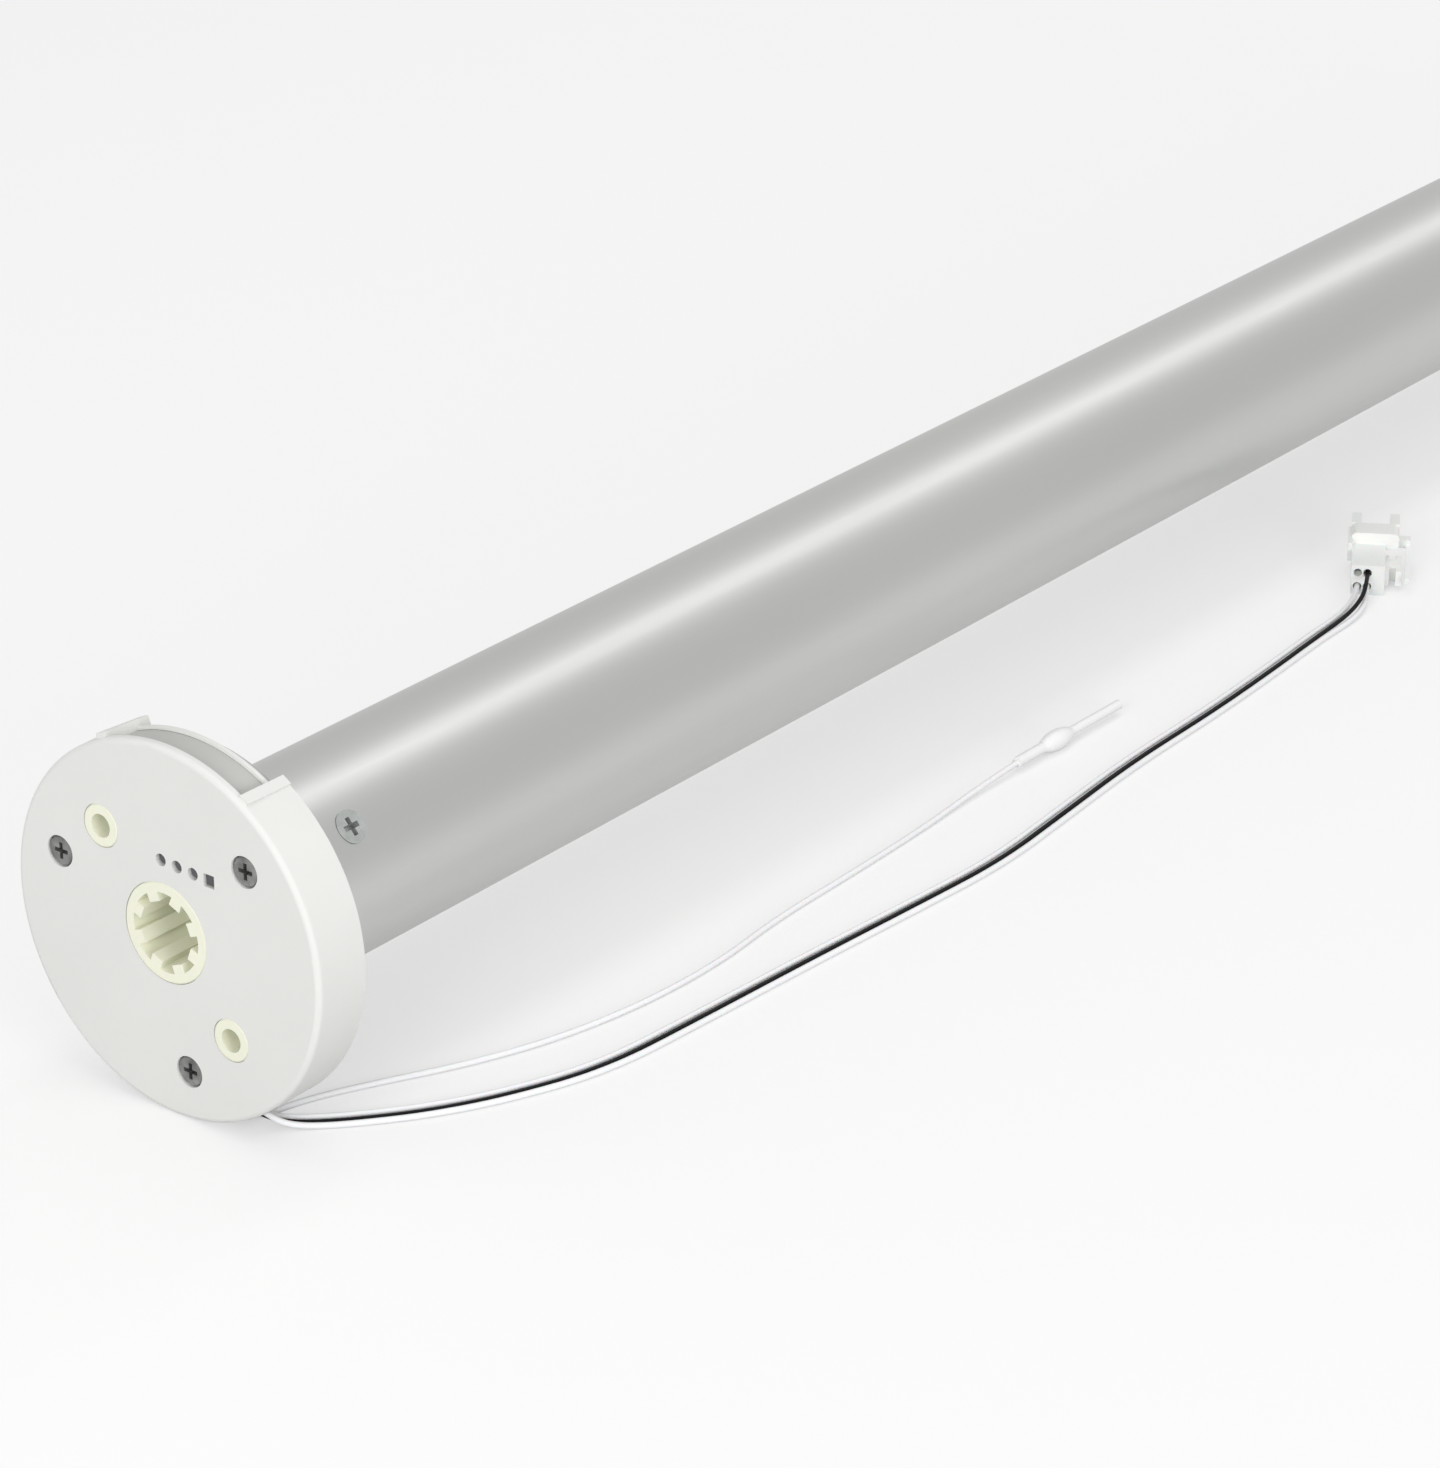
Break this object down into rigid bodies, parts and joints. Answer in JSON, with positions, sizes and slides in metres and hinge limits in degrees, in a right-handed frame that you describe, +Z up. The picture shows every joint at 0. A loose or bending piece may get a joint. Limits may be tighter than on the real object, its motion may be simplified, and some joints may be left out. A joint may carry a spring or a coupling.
{
  "type": "tubular roller blind motor",
  "caption": "Slim motor in a round tube with a wider bracket head, a geared output shaft, a plug-in power lead and a wire antenna, for turning a roller blind.",
  "frame": {"origin": "centre of the head's front face, on the motor axis", "axes": "+X along the motor axis from the head to the output shaft, +Z up, with the part lying on a level surface"},
  "size_m": [0.451, 0.0717, 0.0544],
  "materials": {
    "cover_plastic": "light grey-white moulded plastic, fine grain",
    "housing_plastic": "mid grey moulded plastic",
    "cream_plastic": "cream moulded plastic",
    "dark_steel": "dark plated steel",
    "bright_steel": "bright plated steel",
    "button_plastic": "dark grey plastic",
    "light_plastic": "dark tinted clear plastic",
    "circuit_board": "green solder mask",
    "switch_metal": "tinned steel",
    "soft_rubber": "black rubber",
    "lead_sheath": "white wire sheath",
    "black_sheath": "black wire sheath",
    "anodised_tube": "satin anodised aluminium",
    "carrier_plastic": "black plastic",
    "chip_plastic": "black moulded epoxy",
    "capacitor_sleeve": "dark shrink sleeve",
    "flat_cable_film": "amber film",
    "motor_lead_sheath": "red wire sheath",
    "bell_plastic": "black plastic",
    "motor_steel": "zinc plated steel",
    "ferrite": "dark ferrite",
    "core_steel": "stacked electrical steel",
    "copper": "enamelled copper wire",
    "carbon": "pressed carbon",
    "bush_bronze": "sintered bronze",
    "shaft_steel": "ground steel",
    "gear_plastic": "natural white plastic",
    "gear_steel": "sintered steel",
    "case_plastic": "black glass-filled plastic",
    "end_block_metal": "die-cast, tumbled",
    "sleeve_plastic": "white moulded plastic",
    "connector_nylon": "white nylon, slightly clear",
    "contact_tin": "tinned brass"
  },
  "bodies": {
    "motor": {"head_cover": "cover_plastic", "head_housing": "housing_plastic", "bracket_socket": "cream_plastic", "cover_screws": "dark_steel", "status_light": "light_plastic", "head_board": "circuit_board", "push_switches": "switch_metal", "wire_bush": "soft_rubber", "inner_leads": "lead_sheath", "motor_tube": "anodised_tube", "tube_screws": "bright_steel", "board_carrier": "carrier_plastic", "control_board": "circuit_board", "radio_module": "switch_metal", "control_chips": "chip_plastic", "capacitors": "capacitor_sleeve", "flat_cables": "flat_cable_film", "motor_leads": "motor_lead_sheath", "encoder_board": "circuit_board", "end_bell": "bell_plastic", "motor_can": "motor_steel", "field_magnets": "ferrite", "brushes": "carbon", "motor_bushes": "bush_bronze", "motor_dampers": "soft_rubber", "brake_ring": "core_steel", "gearbox_adapter": "case_plastic", "gearbox_case": "case_plastic", "end_block": "end_block_metal", "output_bushes": "bush_bronze", "black_wire": "black_sheath", "inner_white_wire": "lead_sheath", "outer_white_wire": "lead_sheath", "antenna_wire": "lead_sheath", "antenna_sleeve": "sleeve_plastic", "connector_housing": "connector_nylon", "connector_contacts": "contact_tin"},
    "rotor": {"rotor_shaft": "shaft_steel", "sun_gear": "gear_steel", "armature_core": "core_steel", "armature_windings": "copper", "commutator": "copper", "encoder_magnet": "ferrite", "brake_magnet": "ferrite"},
    "first_carrier": {"carrier_1": "gear_plastic"},
    "second_carrier": {"carrier_2": "gear_steel"},
    "output": {"output_shaft": "gear_steel", "shaft_clip": "bright_steel"},
    "planet_body_1a": {"planet_1a": "gear_plastic"},
    "planet_body_1b": {"planet_1b": "gear_plastic"},
    "planet_body_1c": {"planet_1c": "gear_plastic"},
    "planet_body_2a": {"planet_2a": "gear_steel"},
    "planet_body_2b": {"planet_2b": "gear_steel"},
    "planet_body_2c": {"planet_2c": "gear_steel"},
    "planet_body_3a": {"planet_3a": "gear_steel"},
    "planet_body_3b": {"planet_3b": "gear_steel"},
    "planet_body_3c": {"planet_3c": "gear_steel"},
    "up_button_body": {"up_button": "button_plastic"},
    "program_button_body": {"program_button": "button_plastic"},
    "down_button_body": {"down_button": "button_plastic"}
  },
  "joints": [
    {"name": "second_carrier_spin", "type": "hinge", "parent": "motor", "child": "second_carrier", "pos_m": [0.359, 0, 0], "axis": [1, 0, 0], "continuous": true},
    {"name": "rotor_spin", "type": "hinge", "parent": "motor", "child": "rotor", "pos_m": [0.3, 0, 0], "axis": [1, 0, 0], "continuous": true},
    {"name": "first_carrier_spin", "type": "hinge", "parent": "motor", "child": "first_carrier", "pos_m": [0.347, 0, 0], "axis": [1, 0, 0], "continuous": true},
    {"name": "output_spin", "type": "hinge", "parent": "motor", "child": "output", "pos_m": [0.4, 0, 0], "axis": [1, 0, 0], "continuous": true},
    {"name": "planet_1a_spin", "type": "hinge", "parent": "first_carrier", "child": "planet_body_1a", "pos_m": [0.3424, 0.00675, 0], "axis": [1, 0, 0], "continuous": true},
    {"name": "planet_1b_spin", "type": "hinge", "parent": "first_carrier", "child": "planet_body_1b", "pos_m": [0.3424, -0.00337, 0.00585], "axis": [1, 0, 0], "continuous": true},
    {"name": "planet_1c_spin", "type": "hinge", "parent": "first_carrier", "child": "planet_body_1c", "pos_m": [0.3424, -0.00337, -0.00585], "axis": [1, 0, 0], "continuous": true},
    {"name": "planet_2a_spin", "type": "hinge", "parent": "second_carrier", "child": "planet_body_2a", "pos_m": [0.3532, 0.00675, 0], "axis": [1, 0, 0], "continuous": true},
    {"name": "planet_2b_spin", "type": "hinge", "parent": "second_carrier", "child": "planet_body_2b", "pos_m": [0.3532, -0.00337, 0.00585], "axis": [1, 0, 0], "continuous": true},
    {"name": "planet_2c_spin", "type": "hinge", "parent": "second_carrier", "child": "planet_body_2c", "pos_m": [0.3532, -0.00337, -0.00585], "axis": [1, 0, 0], "continuous": true},
    {"name": "planet_3a_spin", "type": "hinge", "parent": "output", "child": "planet_body_3a", "pos_m": [0.367, 0.00675, 0], "axis": [1, 0, 0], "continuous": true},
    {"name": "planet_3b_spin", "type": "hinge", "parent": "output", "child": "planet_body_3b", "pos_m": [0.367, -0.00337, 0.00585], "axis": [1, 0, 0], "continuous": true},
    {"name": "planet_3c_spin", "type": "hinge", "parent": "output", "child": "planet_body_3c", "pos_m": [0.367, -0.00337, -0.00585], "axis": [1, 0, 0], "continuous": true},
    {"name": "up_button_press", "type": "slide", "parent": "motor", "child": "up_button_body", "axis": [1, 0, 0], "range_m": [0, 0.0004], "stiffness_N_per_m": 600, "springref_m": -0.0008},
    {"name": "program_button_press", "type": "slide", "parent": "motor", "child": "program_button_body", "axis": [1, 0, 0], "range_m": [0, 0.0004], "stiffness_N_per_m": 600, "springref_m": -0.0008},
    {"name": "down_button_press", "type": "slide", "parent": "motor", "child": "down_button_body", "axis": [1, 0, 0], "range_m": [0, 0.0004], "stiffness_N_per_m": 600, "springref_m": -0.0008}
  ],
  "couplings": [
    {"joint": "rotor_spin", "follows": "second_carrier_spin", "ratio": 25},
    {"joint": "first_carrier_spin", "follows": "second_carrier_spin", "ratio": 5},
    {"joint": "output_spin", "follows": "second_carrier_spin", "ratio": 0.2},
    {"joint": "planet_1a_spin", "follows": "second_carrier_spin", "ratio": -13.333},
    {"joint": "planet_1b_spin", "follows": "second_carrier_spin", "ratio": -13.333},
    {"joint": "planet_1c_spin", "follows": "second_carrier_spin", "ratio": -13.333},
    {"joint": "planet_2a_spin", "follows": "second_carrier_spin", "ratio": -2.6667},
    {"joint": "planet_2b_spin", "follows": "second_carrier_spin", "ratio": -2.6667},
    {"joint": "planet_2c_spin", "follows": "second_carrier_spin", "ratio": -2.6667},
    {"joint": "planet_3a_spin", "follows": "second_carrier_spin", "ratio": -0.53333},
    {"joint": "planet_3b_spin", "follows": "second_carrier_spin", "ratio": -0.53333},
    {"joint": "planet_3c_spin", "follows": "second_carrier_spin", "ratio": -0.53333}
  ]
}
